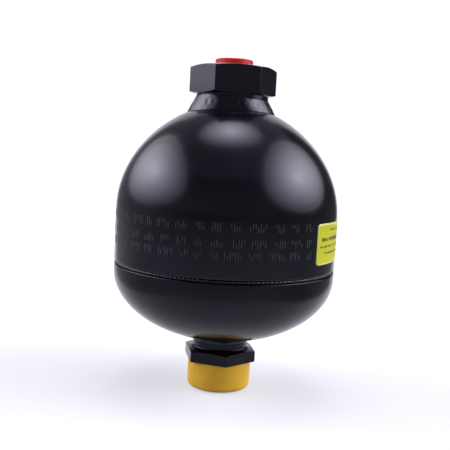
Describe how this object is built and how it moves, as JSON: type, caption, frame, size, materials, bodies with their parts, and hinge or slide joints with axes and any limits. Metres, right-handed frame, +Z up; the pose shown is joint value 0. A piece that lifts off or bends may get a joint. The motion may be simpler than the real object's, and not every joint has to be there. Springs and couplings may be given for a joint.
{
  "type": "hydraulic diaphragm accumulator",
  "caption": "Welded steel pressure vessel with a rubber diaphragm inside, a hexagon fluid port with a red plug on top and a capped gas charging end below.",
  "frame": {"origin": "middle of the protective cap's underside, on which the accumulator stands", "axes": "+Z up the vessel's axis from the gas end to the fluid port; the fluid port's hexagon has flats facing +Y and -Y"},
  "size_m": [0.1212, 0.121, 0.1801],
  "materials": {
    "black_paint": "semi-gloss black paint over steel",
    "red_plastic": "soft polyethylene, lightly ribbed",
    "yellow_plastic": "satin moulded polyethylene",
    "plain_steel": "turned, zinc plated",
    "black_rubber": "moulded nitrile rubber",
    "yellow_label": "printed vinyl film"
  },
  "bodies": {
    "vessel": {"fluid_side_shell": "black_paint", "gas_side_shell": "black_paint", "girth_weld": "black_paint", "fluid_port": "black_paint", "fluid_port_weld": "black_paint", "gas_valve_body": "black_paint", "gas_valve_weld": "black_paint", "port_plug": "red_plastic", "protective_cap": "yellow_plastic", "charging_screw": "plain_steel", "charging_o_ring": "black_rubber", "retaining_ring": "plain_steel", "diaphragm": "black_rubber", "label": "yellow_label"},
    "button": {"closing_button": "plain_steel"}
  },
  "joints": [
    {"name": "button_travel", "type": "slide", "parent": "vessel", "child": "button", "axis": [0, 0, -1], "range_m": [0, 0.09], "stiffness_N_per_m": 60, "springref_m": -0.02, "deforming": ["diaphragm"]}
  ]
}
